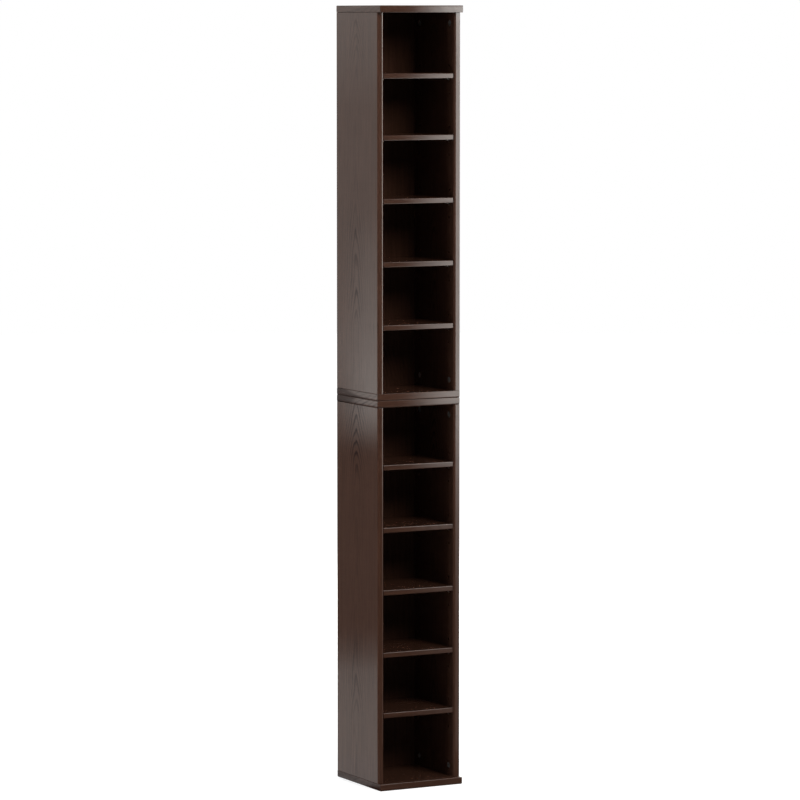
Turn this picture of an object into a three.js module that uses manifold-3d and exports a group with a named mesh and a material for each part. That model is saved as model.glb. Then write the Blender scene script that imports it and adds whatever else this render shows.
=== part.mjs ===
// A tall, narrow storage tower for disc cases: two equal open cases of dark wood-finished board,
// one standing on the other. The lower case has a floor board and the upper case a top board that
// stand out at the front. Five loose shelves in each case rest on spoon-shaped steel supports.
// Millimetres, +Z up, the front faces -Y, and the origin is on the floor under the middle of the
// footprint.
import * as THREE from 'three';
import { mergeVertices } from 'three/addons/utils/BufferGeometryUtils.js';
import Module from 'manifold-3d';

const wasm = await Module();
wasm.setup();

// The two cases
const caseHeight = 900;
const caseWidth = 214;
const sideDepth = 206;
const sideThickness = 16;
const boardThickness = 16;
const boardOverhang = 14;

// The arrises of the boards: the front ones are soft, the others only broken
const sideFrontRadius = 4;
const boardFrontRadius = 1.6;
const shelfFrontRadius = 2;
const brokenArris = 0.7;
const frontArcSteps = 4;
const brokenArcSteps = 1;

// The shelves, counted from the board that stands out: each bay runs to the next shelf's underside
const shelfCount = 5;
const firstBay = 150;
const secondBay = 140.5;
const shelfThickness = 12;
const shelfSetback = 3;
const shelfEndGap = 0.5;
const shelfBackGap = 1;

// The thin back, which slides in grooves of the side panels
const backThickness = 3;
const backEndGap = 0.3;
const grooveDepth = 6;
const grooveFloorGap = 0.5;
const grooveSideGap = 0.3;
const grooveSetback = 10;

// The lines of holes in the side panels, behind the front edge and before the back panel
const holeLine = 24;
const pinHoleRadius = 2.8;
const pinHoleDepth = 9;
const spareHoleStep = 32;
const holeSides = 8;

// The spoon-shaped shelf supports
const shankRadius = 2.5;
const shankLength = 8;
const stopRadius = 4;
const stopThickness = 1.2;
const stopArcSteps = 6;
const bladeWidth = 9;
const bladeLength = 11;
const bladeThickness = 2.2;
const bladeArcSteps = 4;
const seatGap = 0.3;

// The fixings between side panels and boards
const camBoreRadius = 7.5;
const camBoreDepth = 12.5;
const camGap = 0.3;
const camFromEnd = 24;
const camSink = 0.5;
const camSides = 16;
const crossLength = 8;
const crossWidth = 1.8;
const crossDepth = 2;
const boltRadius = 3;
const boltReach = 11;
const dowelRadius = 4;
const dowelReach = 10;
const fixingGap = 0.3;
const fixingRoot = 2;
const fixingSides = 8;

// The dowels that keep the upper case on the lower one
const stackDowelReach = 9;
const stackDowelInset = 32;

// What every cutter runs past the face it cuts
const overrun = 1;

// Places that follow from the sizes
const innerWidth = caseWidth - 2 * sideThickness;
const sideHeight = caseHeight - 2 * boardThickness;
const wholeDepth = sideDepth + boardOverhang;
const rearY = wholeDepth / 2;
const sideFrontY = rearY - sideDepth;
const grooveWidth = backThickness + 2 * grooveSideGap;
const grooveRearY = rearY - grooveSetback;
const grooveFrontY = grooveRearY - grooveWidth;
const backFrontY = grooveFrontY + grooveSideGap;
const shelfFrontY = sideFrontY + shelfSetback;
const shelfRearY = backFrontY - shelfBackGap;
const frontLineY = sideFrontY + holeLine;
const rearLineY = grooveFrontY - holeLine;
const middleLineY = (frontLineY + rearLineY) / 2;
const evenBay = (sideHeight - firstBay - secondBay) / (shelfCount - 1);

const sideWood = new THREE.MeshStandardMaterial({ color: 0x46302a, roughness: 0.42, metalness: 0 });
const boardWood = new THREE.MeshStandardMaterial({ color: 0x412c27, roughness: 0.4, metalness: 0 });
const shelfWood = new THREE.MeshStandardMaterial({ color: 0x3c2823, roughness: 0.38, metalness: 0 });
const backBoard = new THREE.MeshStandardMaterial({ color: 0x2a1c18, roughness: 0.6, metalness: 0 });
const nickel = new THREE.MeshStandardMaterial({ color: 0xb4b1aa, roughness: 0.32, metalness: 1 });

// A three.js geometry as a solid that can be cut and joined.
function toSolid(geometry) {
  const bare = geometry.clone();
  bare.deleteAttribute('normal');
  bare.deleteAttribute('uv');
  const merged = mergeVertices(bare);
  return new wasm.Manifold(new wasm.Mesh({
    numProp: 3,
    vertProperties: new Float32Array(merged.attributes.position.array),
    triVerts: new Uint32Array(merged.index.array),
  }));
}

// A cut or joined solid as a three.js geometry again.
function toGeometry(solid) {
  const mesh = solid.getMesh();
  const geometry = new THREE.BufferGeometry();
  geometry.setAttribute('position', new THREE.BufferAttribute(mesh.vertProperties, 3));
  geometry.setIndex(new THREE.BufferAttribute(mesh.triVerts, 1));
  geometry.computeVertexNormals();
  return geometry;
}

// Points on an arc about a centre, from one angle to another, both ends included.
function arcPoints(centreU, centreV, radius, fromAngle, toAngle, steps) {
  const points = [];
  for (let i = 0; i <= steps; i += 1) {
    const angle = fromAngle + (toAngle - fromAngle) * i / steps;
    points.push(new THREE.Vector2(centreU + radius * Math.cos(angle), centreV + radius * Math.sin(angle)));
  }
  return points;
}

// The section of a board, depth long and thickness high, with round arrises at the front, where
// u is 0, and broken ones at the rear.
function boardSection(depth, thickness, frontRadius) {
  const quarter = Math.PI / 2;
  const rearU = depth - brokenArris;
  const rearTopV = thickness - brokenArris;
  const frontTopV = thickness - frontRadius;
  return new THREE.Shape([
    ...arcPoints(frontRadius, frontRadius, frontRadius, 2 * quarter, 3 * quarter, frontArcSteps),
    ...arcPoints(rearU, brokenArris, brokenArris, -quarter, 0, brokenArcSteps),
    ...arcPoints(rearU, rearTopV, brokenArris, 0, quarter, brokenArcSteps),
    ...arcPoints(frontRadius, frontTopV, frontRadius, quarter, 2 * quarter, frontArcSteps),
  ]);
}

// A section carried along w for a length, with the arris broken all round at both ends.
function extrudeBoard(section, length) {
  const geometry = new THREE.ExtrudeGeometry(section, {
    depth: length - 2 * brokenArris,
    bevelEnabled: true,
    bevelThickness: brokenArris,
    bevelSize: brokenArris,
    bevelOffset: -brokenArris,
    bevelSegments: 1,
  });
  return geometry.translate(0, 0, brokenArris);
}

// Turns u, v, w of an extruded section to Y, Z, X, so that a board lies across the tower.
function layAcross(geometry) {
  const alongY = new THREE.Vector3(0, 1, 0);
  const alongZ = new THREE.Vector3(0, 0, 1);
  const alongX = new THREE.Vector3(1, 0, 0);
  return geometry.applyMatrix4(new THREE.Matrix4().makeBasis(alongY, alongZ, alongX));
}

// A board across the tower, centred on x = 0, with its front lower arris on the X axis.
function acrossBoard(width, depth, thickness, frontRadius) {
  const geometry = extrudeBoard(boardSection(depth, thickness, frontRadius), width);
  return layAcross(geometry).translate(-width / 2, 0, 0);
}

// A prism with a flat on top, its axis along X from one place to another.
function rodAlongX(radius, sides, fromX, toX, y, z) {
  const geometry = new THREE.CylinderGeometry(radius, radius, Math.abs(toX - fromX), sides);
  geometry.rotateY(Math.PI / sides);
  geometry.rotateZ(Math.PI / 2);
  return toSolid(geometry.translate((fromX + toX) / 2, y, z));
}

// The same with its axis along Z.
function rodAlongZ(radius, sides, fromZ, toZ, x, y) {
  const geometry = new THREE.CylinderGeometry(radius, radius, toZ - fromZ, sides);
  geometry.rotateX(Math.PI / 2);
  return toSolid(geometry.translate(x, y, (fromZ + toZ) / 2));
}

// A box between two corners.
function boxBetween(low, high) {
  const geometry = new THREE.BoxGeometry(high.x - low.x, high.y - low.y, high.z - low.z);
  return geometry.translate((low.x + high.x) / 2, (low.y + high.y) / 2, (low.z + high.z) / 2);
}

// Heights of the undersides of one case's shelves above its foot, the lowest first.
function shelfUndersides(overhangBelow) {
  const heights = [];
  for (let i = 0; i < shelfCount; i += 1) {
    const fromBoard = i === 0 ? firstBay : firstBay + secondBay + (i - 1) * evenBay;
    heights.push(overhangBelow ? boardThickness + fromBoard : caseHeight - boardThickness - fromBoard);
  }
  return heights.sort((a, b) => a - b);
}

// The height of a shelf support's shank below the shelf that rests on its blade.
function shankHeight(underside) {
  return underside - seatGap - shankRadius;
}

// What is cut out round a cam lock, which stays standing in its bore, and its screwdriver cross.
// The cutters start at the inner face, x = 0, and go into the panel on the given side.
function camCutters(side, y, z) {
  const camRadius = camBoreRadius - camGap;
  const bore = rodAlongX(camBoreRadius, camSides, -side * overrun, side * camBoreDepth, y, z);
  const lock = rodAlongX(camRadius, camSides, side * camSink, side * (camBoreDepth + overrun), y, z);
  const crossLowX = Math.min(-side * overrun, side * (camSink + crossDepth));
  const crossHighX = Math.max(-side * overrun, side * (camSink + crossDepth));
  const bars = [[crossLength, crossWidth], [crossWidth, crossLength]].map(([sizeY, sizeZ]) => toSolid(
    boxBetween(
      new THREE.Vector3(crossLowX, y - sizeY / 2, z - sizeZ / 2),
      new THREE.Vector3(crossHighX, y + sizeY / 2, z + sizeZ / 2),
    ),
  ));
  return [bore.subtract(lock), bars[0].add(bars[1])];
}

// A side panel with its foot at z = 0 and its inner face at x = 0. It grows towards side, which is
// -1 for the left and 1 for the right. It carries the groove for the back, the holes for the shelf
// supports with a spare one above and below each, the cam locks, and the ends of bolts and dowels.
function sidePanel(side, undersides) {
  const section = boardSection(sideDepth, sideThickness, sideFrontRadius);
  const geometry = extrudeBoard(section, sideHeight);
  geometry.rotateZ(Math.PI / 2);
  geometry.translate(side > 0 ? sideThickness : 0, sideFrontY, 0);
  let panel = toSolid(geometry);

  const grooveLowX = Math.min(-side * overrun, side * grooveDepth);
  const grooveHighX = Math.max(-side * overrun, side * grooveDepth);
  panel = panel.subtract(toSolid(boxBetween(
    new THREE.Vector3(grooveLowX, grooveFrontY, -overrun),
    new THREE.Vector3(grooveHighX, grooveRearY, sideHeight + overrun),
  )));

  for (const lineY of [frontLineY, rearLineY]) {
    for (const underside of undersides) {
      for (const step of [-spareHoleStep, 0, spareHoleStep]) {
        const z = shankHeight(underside) - boardThickness + step;
        const hole = rodAlongX(pinHoleRadius, holeSides, -side * overrun, side * pinHoleDepth, lineY, z);
        panel = panel.subtract(hole);
      }
    }
    for (const camZ of [camFromEnd, sideHeight - camFromEnd]) {
      for (const cutter of camCutters(side, lineY, camZ)) {
        panel = panel.subtract(cutter);
      }
    }
  }

  const middleX = side * sideThickness / 2;
  for (const [lineY, radius, reach] of fixings()) {
    panel = panel.add(rodAlongZ(radius, fixingSides, -reach, fixingRoot, middleX, lineY));
    panel = panel.add(rodAlongZ(radius, fixingSides, sideHeight - fixingRoot, sideHeight + reach, middleX, lineY));
  }
  return toGeometry(panel);
}

// The fixings of each panel end: a cam bolt on both hole lines and a dowel between them.
function fixings() {
  return [
    [frontLineY, boltRadius, boltReach],
    [middleLineY, dowelRadius, dowelReach],
    [rearLineY, boltRadius, boltReach],
  ];
}

// The places of the dowels between the two cases.
function stackPlaces() {
  const x = innerWidth / 2 - stackDowelInset;
  return [[-x, frontLineY], [x, frontLineY], [-x, rearLineY], [x, rearLineY]];
}

// A board that closes a case, with blind holes for the ends of the bolts and dowels. Its lower face
// is at z = 0, and the holes open upwards or downwards.
function endBoard(standsOut, holesUp) {
  const depth = standsOut ? wholeDepth : sideDepth;
  const geometry = acrossBoard(caseWidth, depth, boardThickness, boardFrontRadius);
  let board = toSolid(geometry.translate(0, rearY - depth, 0));
  for (const side of [-1, 1]) {
    const x = side * (caseWidth - sideThickness) / 2;
    for (const [lineY, radius, reach] of fixings()) {
      const holeDepth = reach + fixingGap;
      const fromZ = holesUp ? boardThickness - holeDepth : -overrun;
      const toZ = holesUp ? boardThickness + overrun : holeDepth;
      board = board.subtract(rodAlongZ(radius + fixingGap, fixingSides, fromZ, toZ, x, lineY));
    }
  }
  return board;
}

// The flush board on top of the lower case, with the dowels that the upper case drops over.
function lowerFlushBoard() {
  let board = endBoard(false, false);
  for (const [x, y] of stackPlaces()) {
    const topZ = boardThickness + stackDowelReach;
    board = board.add(rodAlongZ(dowelRadius, fixingSides, boardThickness - fixingRoot, topZ, x, y));
  }
  return toGeometry(board);
}

// The flush board under the upper case, with the holes for those dowels.
function upperFlushBoard() {
  let board = endBoard(false, true);
  for (const [x, y] of stackPlaces()) {
    const holeDepth = stackDowelReach + fixingGap;
    board = board.subtract(rodAlongZ(dowelRadius + fixingGap, fixingSides, -overrun, holeDepth, x, y));
  }
  return toGeometry(board);
}

// The back panel, which reaches into both grooves and stands between the end boards.
function backPanel() {
  const reach = innerWidth / 2 + grooveDepth - grooveFloorGap;
  return boxBetween(
    new THREE.Vector3(-reach, backFrontY, backEndGap),
    new THREE.Vector3(reach, backFrontY + backThickness, sideHeight - backEndGap),
  );
}

// A shelf with its underside at z = 0.
function shelf() {
  const width = innerWidth - 2 * shelfEndGap;
  const depth = shelfRearY - shelfFrontY;
  return acrossBoard(width, depth, shelfThickness, shelfFrontRadius).translate(0, shelfFrontY, 0);
}

// A spoon-shaped support: a round shank, a stop with its top cut level, and a flat blade with a
// round end. The blade points along +X from the panel's face at x = 0, and its top is at z = 0.
function shelfSupport() {
  const shank = rodAlongX(shankRadius, holeSides, -shankLength, stopThickness, 0, -shankRadius);

  const levelAngle = Math.asin(shankRadius / stopRadius);
  const stopOutline = new THREE.Shape(
    arcPoints(0, -shankRadius, stopRadius, Math.PI - levelAngle, 2 * Math.PI + levelAngle, stopArcSteps),
  );
  const stop = layAcross(new THREE.ExtrudeGeometry(stopOutline, { depth: stopThickness, bevelEnabled: false }));

  const halfWidth = bladeWidth / 2;
  const roundX = bladeLength - halfWidth;
  const bladeOutline = new THREE.Shape([
    new THREE.Vector2(0, halfWidth),
    new THREE.Vector2(0, -halfWidth),
    ...arcPoints(roundX, 0, halfWidth, -Math.PI / 2, Math.PI / 2, bladeArcSteps),
  ]);
  const blade = new THREE.ExtrudeGeometry(bladeOutline, { depth: bladeThickness, bevelEnabled: false });
  blade.translate(0, 0, -bladeThickness);
  return toGeometry(shank.add(toSolid(stop)).add(toSolid(blade)));
}

const supportGeometry = shelfSupport();
const shelfGeometry = shelf();
const backGeometry = backPanel();

// One named piece, placed in its group.
function addPiece(group, name, geometry, material, x, y, z) {
  const piece = new THREE.Mesh(geometry, material);
  piece.name = name;
  piece.position.set(x, y, z);
  group.add(piece);
  return piece;
}

// A shelf and the four supports under it.
function addShelf(group, name, underside) {
  addPiece(group, name, shelfGeometry, shelfWood, 0, 0, underside);
  for (const [end, lineY] of [['front', frontLineY], ['back', rearLineY]]) {
    for (const [hand, side] of [['left', -1], ['right', 1]]) {
      const pinName = `${name}_pin_${end}_${hand}`;
      const faceX = side * innerWidth / 2;
      const pin = addPiece(group, pinName, supportGeometry, nickel, faceX, lineY, underside - seatGap);
      pin.rotation.z = side > 0 ? Math.PI : 0;
    }
  }
}

// Everything that the two cases share: sides, back and shelves.
function addCaseBody(group, name, overhangBelow) {
  const undersides = shelfUndersides(overhangBelow);
  for (const [hand, side] of [['left', -1], ['right', 1]]) {
    const faceX = side * innerWidth / 2;
    addPiece(group, `${name}_${hand}_side`, sidePanel(side, undersides), sideWood, faceX, 0, boardThickness);
  }
  addPiece(group, `${name}_back_panel`, backGeometry, backBoard, 0, 0, boardThickness);
  undersides.forEach((underside, i) => addShelf(group, `${name}_shelf_${i + 1}`, underside));
}

const lowerCase = new THREE.Group();
const upperTopZ = caseHeight - boardThickness;
addPiece(lowerCase, 'lower_base_board', toGeometry(endBoard(true, true)), boardWood, 0, 0, 0);
addPiece(lowerCase, 'lower_top_board', lowerFlushBoard(), boardWood, 0, 0, upperTopZ);
addCaseBody(lowerCase, 'lower', true);

const upperCase = new THREE.Group();
upperCase.position.z = caseHeight;
addPiece(upperCase, 'upper_bottom_board', upperFlushBoard(), boardWood, 0, 0, 0);
addPiece(upperCase, 'upper_top_board', toGeometry(endBoard(true, false)), boardWood, 0, 0, upperTopZ);
addCaseBody(upperCase, 'upper', false);

const tower = new THREE.Group();
tower.add(lowerCase, upperCase);

export default tower;
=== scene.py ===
"""The looks of a tall, narrow storage tower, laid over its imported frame.

Two equal open cases of dark espresso board stand on each other. The boards, panels and shelves are
made again here with finely rounded arrises and a foil finish whose figure runs along each board,
and so are the plated shelf supports, the cam locks and the dowels between the cases. Metres, +Z up,
the front faces -Y.
"""

import math
from itertools import product

import bmesh
import bpy
import numpy as np
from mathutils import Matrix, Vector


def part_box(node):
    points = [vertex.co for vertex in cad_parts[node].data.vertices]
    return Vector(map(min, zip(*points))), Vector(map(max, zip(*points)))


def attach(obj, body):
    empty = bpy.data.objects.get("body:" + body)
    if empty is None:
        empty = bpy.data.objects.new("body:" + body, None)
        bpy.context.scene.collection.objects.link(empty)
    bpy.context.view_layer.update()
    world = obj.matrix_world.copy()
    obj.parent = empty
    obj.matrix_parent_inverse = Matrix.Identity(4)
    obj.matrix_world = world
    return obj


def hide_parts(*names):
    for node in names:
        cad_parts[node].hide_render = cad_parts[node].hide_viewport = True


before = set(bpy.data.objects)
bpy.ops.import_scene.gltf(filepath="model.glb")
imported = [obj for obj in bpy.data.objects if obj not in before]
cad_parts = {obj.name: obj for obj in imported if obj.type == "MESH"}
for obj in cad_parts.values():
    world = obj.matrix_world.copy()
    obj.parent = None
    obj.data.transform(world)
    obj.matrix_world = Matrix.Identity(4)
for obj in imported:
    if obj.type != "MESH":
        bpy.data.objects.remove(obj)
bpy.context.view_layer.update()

bl_info = {
    "name": "Disc storage tower",
    "version": (1, 0, 0),
    "blender": (4, 5, 0),
    "location": "View3D > Sidebar > Tower",
    "description": "Makes the boards, shelves and fittings of a two-case disc storage tower",
    "category": "Object",
}

CASES = ("lower", "upper")
HANDS = (("left", -1), ("right", 1))
SHELVES = range(1, 6)
ACROSS, DEEP, UP = 0, 1, 2

# How far a cutter runs past the face it cuts, and the angle from which an edge stays crisp
CUT_PAST = 0.001
SHARP_ANGLE = math.radians(38.0)

# The foil's figure repeats with the two cases' height. Along it, how many growth rings the heart has
# climbed, so that each whole number is the head of an arch, and how strongly the rings show.
FOIL_REPEAT, FOIL_RINGS = 1.8, 26
RINGS_CLIMBED = (
    (0.0, 0.0), (0.16, 0.25), (0.199, 1), (0.308, 3), (0.538, 5), (0.75, 8), (0.785, 9), (0.87, 12),
    (0.9, 13), (1.07, 13.3), (1.101, 14), (1.346, 18), (1.671, 22), (1.762, 25), (1.8, 26),
)
RINGS_SHOWN = (
    (0.0, 0.3), (0.16, 0.36), (0.2, 0.55), (0.32, 0.5), (0.35, 0.2), (0.69, 0.14), (0.74, 0.6),
    (0.77, 1.0), (0.9, 1.0), (0.92, 0.32), (1.08, 0.38), (1.11, 0.58), (1.3, 0.58), (1.36, 0.26),
    (1.42, 0.1), (1.62, 0.1), (1.68, 0.42), (1.8, 0.42),
)
# How dark a growth ring is, from its early wood to its late wood
RING_TONE = ((0.0, 0.06), (0.5, 0.1), (0.74, 0.85), (0.88, 1.0), (1.0, 0.06))

# Where the ends' bands of foil are cut from the figure: sideways, along, and by a board's own start
BAND_ASIDE, BAND_ALONG, BAND_STEP = 0.012, 0.81, 0.02
# What the attribute of painted shade on the ends says where there is none, well below the 0 at which it
# begins
NO_PAINTED_SHADE = -3.0

# The camera's line of sight on the floor
SIGHT_X, SIGHT_Y = 0.468, 0.884
# A shader's white, with its alpha
WHITE = (1.0, 1.0, 1.0, 1.0)


# Sizes and colours that a user would change


def amount(name, description, default, **limits):
    """A number property."""
    return bpy.props.FloatProperty(name=name, description=description, default=default, **limits)


def length(name, description, default):
    """A length property in metres, shown in the scene's unit."""
    return amount(name, description, default, min=0.0, unit="LENGTH", subtype="DISTANCE", precision=5)


def colour(name, description, default):
    """A colour property, linear red, green and blue."""
    return bpy.props.FloatVectorProperty(
        name=name, description=description, default=default, min=0.0, max=1.0, subtype="COLOR",
    )


class TowerBoardSettings(bpy.types.PropertyGroup):
    """Arrises of the boards and what is cut into them."""
    side_front_round: length("Side front", "Round arris at a side panel's front, outside", 0.0025)
    side_inner_round: length("Side front inside", "Round arris at a side panel's front, inside", 0.005)
    board_round: length("End board", "Round arris all round a board that closes a case", 0.002)
    board_low_round: length("End board below", "Round arris low on such a board's front", 0.0034)
    end_low_reach: length("End arris below", "Height of the flat arris low on such a board's ends", 0.007)
    side_rear_round: length("Side rear", "Round arris at a side panel's rear", 0.0028)
    shelf_front_round: length("Shelf front", "Round arris at a shelf's front", 0.002)
    broken_arris: length("Broken arris", "Small round of every other edge", 0.0007)
    hole_line: length("Hole line", "From the panel's front, or the back's groove, to the holes", 0.024)
    pin_hole_radius: length("Pin hole radius", "Radius of a shelf support's hole", 0.0028)
    pin_hole_depth: length("Pin hole depth", "Depth of a shelf support's hole", 0.009)
    spare_hole_step: length("Spare hole step", "From a hole in use to the spare ones by it", 0.032)
    cam_bore_radius: length("Cam bore radius", "Radius of a cam lock's bore", 0.0075)
    cam_bore_depth: length("Cam bore depth", "Depth of a cam lock's bore", 0.0125)
    cam_from_end: length("Cam from end", "From a panel's end to the axis of its cam lock", 0.024)
    groove_depth: length("Groove depth", "Depth of the groove for the back panel", 0.006)
    groove_gap: length("Groove gap", "Play of the back panel on each face in its groove", 0.0003)


class TowerFittingSettings(bpy.types.PropertyGroup):
    """Shelf supports, cam locks and dowels."""
    shank_radius: length("Shank radius", "Radius of a support's round shank", 0.0025)
    seat_gap: length("Seat gap", "Play between a support's blade and its shelf", 0.0003)
    cam_radius: length("Cam radius", "Radius of a cam lock's head", 0.0072)
    cam_sink: length("Cam sink", "How far a cam lock lies below the panel's face", 0.0005)
    cross_reach: length("Cross reach", "Half the length of the screwdriver cross", 0.004)
    cross_half_width: length("Cross half width", "Half the width of the screwdriver cross", 0.0009)
    cross_depth: length("Cross depth", "Depth of the screwdriver cross", 0.0018)
    dowel_radius: length("Dowel radius", "Radius of a dowel between the cases", 0.004)
    dowel_reach: length("Dowel reach", "Height of a dowel above the lower case", 0.009)
    dowel_inset: length("Dowel inset", "From a panel's inner face to a dowel's axis", 0.032)
    hole_play: length("Hole play", "Play round a dowel in its hole", 0.0003)


class TowerFinishSettings(bpy.types.PropertyGroup):
    """The espresso foil and the metals."""
    wood_light: colour("Foil light", "The lighter wood between two growth rings", (0.057, 0.0265, 0.0172))
    wood_dark: colour("Foil dark", "The darker late wood of a growth ring", (0.0125, 0.005, 0.004))
    pore: colour("Pore", "The fine pores along the grain", (0.012, 0.005, 0.0042))
    ring_width: length("Ring width", "Mean width of a growth ring", 0.0105)
    figure: amount("Figure", "How strongly the rings show", 0.95, min=0.0, max=1.0, subtype="FACTOR")
    nickel: colour("Nickel", "Plated steel of the shelf supports", (0.56, 0.54, 0.5))
    zinc: colour("Zinc", "Cast metal of the cam locks", (0.46, 0.46, 0.45))
    beech: colour("Beech", "The dowels between the cases", (0.55, 0.36, 0.2))


class TowerStageSettings(bpy.types.PropertyGroup):
    """Camera and floor."""
    camera_place: bpy.props.FloatVectorProperty(
        name="Camera", description="Where the camera stands", default=(-4.5102, -8.5257, 1.7665),
        subtype="TRANSLATION",
    )
    camera_heading: amount("Heading", "From +Y towards +X", math.radians(27.887), subtype="ANGLE")
    camera_pitch: amount("Pitch", "Tilt above the level", math.radians(-5.187), subtype="ANGLE")
    camera_lens: amount("Lens", "Focal length in millimetres on a 36 mm sensor", 188.3, min=1.0)
    floor_radius: length("Floor radius", "Radius of the pale floor", 14.0)


# Shapes


def rounded_section(depth, height, radii, steps):
    """A board's section, u from the front to the rear and v upwards, anticlockwise.

    Each corner, front lower, rear lower, rear upper, front upper, is a quarter turn of
    centre + radius * (cos a, sin a). Gives the points and their outward directions.
    """
    front_low, rear_low, rear_high, front_high = radii
    centres = np.array([
        [front_low, front_low],
        [depth - rear_low, rear_low],
        [depth - rear_high, height - rear_high],
        [front_high, height - front_high],
    ])
    angles = np.add.outer(np.pi + np.arange(4) * np.pi / 2, np.linspace(0, np.pi / 2, steps + 1))
    outward = np.stack([np.cos(angles), np.sin(angles)], -1)
    points = centres[:, None] + np.asarray(radii)[:, None, None] * outward
    return points.reshape(-1, 2), outward.reshape(-1, 2)


def ring_faces(rings, around):
    """Quads between neighbouring rings of a closed tube, and a flat face at each end."""
    ring, i = np.meshgrid(np.arange(rings - 1), np.arange(around), indexing="ij")
    this, after = ring * around, (i + 1) % around
    quads = np.stack([this + i, this + after, this + around + after, this + around + i], -1)
    first = np.arange(around)
    return quads.reshape(-1, 4).tolist() + [first[::-1].tolist(), (first + (rings - 1) * around).tolist()]


def swept_section(points, outward, run, end_radius, steps, low_reach=0.0):
    """A section carried along w from 0 to run, with the arris round at both ends.

    With t from 0 to a quarter turn, the ring at w = r(1 - cos t) is drawn in by r(1 - sin t). With
    a low reach b the ring is clipped to those limits instead, and to b(1 - sin t) from below, so
    that the lower arris of each end is a quarter ellipse, b high and r deep.
    """
    t = np.linspace(0, np.pi / 2, steps + 1)[:, None, None]
    drawn_in = end_radius * (1 - np.sin(t))
    if low_reach:
        rings = np.clip(points[None], (1 - np.sin(t)) * (end_radius, low_reach), points.max(0) - drawn_in)
    else:
        rings = points[None] - drawn_in * outward[None]
    place = end_radius * (1 - np.cos(t))
    rings = np.concatenate([rings, rings[::-1]])
    place = np.concatenate([place, run - place[::-1]])
    along = np.broadcast_to(place, rings.shape[:2] + (1,))
    return np.concatenate([rings, along], -1).reshape(-1, 3), ring_faces(len(place), len(points))


def round_bar(radii, places, around, flutes=0, flute_depth=0.0):
    """A turned bar along w: at each place the radius is r(1 - depth |sin(flutes a / 2)|)."""
    angle = np.arange(around) * 2 * np.pi / around
    fluting = 1 - flute_depth * np.abs(np.sin(flutes * angle / 2))
    circle = np.stack([np.cos(angle), np.sin(angle)], -1)
    rings = np.asarray(radii)[:, None, None] * fluting[None, :, None] * circle[None]
    along = np.broadcast_to(np.asarray(places)[:, None, None], rings.shape[:2] + (1,))
    return np.concatenate([rings, along], -1).reshape(-1, 3), ring_faces(len(places), around)


def join(parts):
    """Several (points, faces) pairs as one."""
    points, faces, start = [], [], 0
    for part_points, part_faces in parts:
        points.append(part_points)
        faces += [[start + corner for corner in face] for face in part_faces]
        start += len(part_points)
    return np.concatenate(points), faces


def lay_along_x(points, offset=(0.0, 0.0, 0.0), facing=1):
    """Local w, u, v as world X, Y, Z, turned half round about Z where facing is -1."""
    return points[:, [2, 0, 1]] * (facing, facing, 1) + offset


def box(low, high):
    """A box between two corners: its points, x fastest and z slowest, and its faces."""
    corner = np.arange(8)[:, None] >> np.arange(3)[None] & 1
    faces = [[0, 2, 3, 1], [4, 5, 7, 6], [0, 1, 5, 4], [2, 6, 7, 3], [0, 4, 6, 2], [1, 3, 7, 5]]
    return np.where(corner == 1, high, low), faces


def new_mesh(name, points, faces):
    """A mesh whose doubled points are merged."""
    mesh = bpy.data.meshes.new(name)
    mesh.from_pydata(points.tolist(), [], faces)
    shape = bmesh.new()
    shape.from_mesh(mesh)
    bmesh.ops.remove_doubles(shape, verts=shape.verts, dist=1e-6)
    bmesh.ops.recalc_face_normals(shape, faces=shape.faces)
    shape.to_mesh(mesh)
    shape.free()
    return mesh


def new_object(name, data):
    """An object at the origin, in the scene."""
    piece = bpy.data.objects.new(name, data)
    bpy.context.scene.collection.objects.link(piece)
    return piece


def combine(mesh, points, faces, operation):
    """A mesh with another shape cut from it or joined to it."""
    piece = new_object("work", mesh)
    tool = new_object("tool", new_mesh("tool", points, faces))
    modifier = piece.modifiers.new("combine", "BOOLEAN")
    modifier.operation = operation
    modifier.solver = "EXACT"
    modifier.object = tool
    graph = bpy.context.evaluated_depsgraph_get()
    result = bpy.data.meshes.new_from_object(piece.evaluated_get(graph))
    for spare in (piece, tool):
        spare_mesh = spare.data
        bpy.data.objects.remove(spare)
        bpy.data.meshes.remove(spare_mesh)
    return result


def smooth(piece):
    """Smooth faces with crisp corners, the flat faces keeping their own direction."""
    mesh = piece.data
    mesh.polygons.foreach_set("use_smooth", [True] * len(mesh.polygons))
    mesh.set_sharp_from_angle(angle=SHARP_ANGLE)
    modifier = piece.modifiers.new("even_faces", "WEIGHTED_NORMAL")
    modifier.keep_sharp = True
    modifier.weight = 60


def read(items, key, width=1, kind=float):
    """One property of all a mesh's items, in rows where it has a width."""
    values = np.empty(len(items) * width, dtype=kind)
    items.foreach_get(key, values)
    return values.reshape(-1, width) if width > 1 else values


def write(mesh, name, kind, domain, key, values):
    """A new attribute of a mesh."""
    mesh.attributes.new(name, kind, domain).data.foreach_set(key, values.astype(np.float32).ravel())


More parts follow.
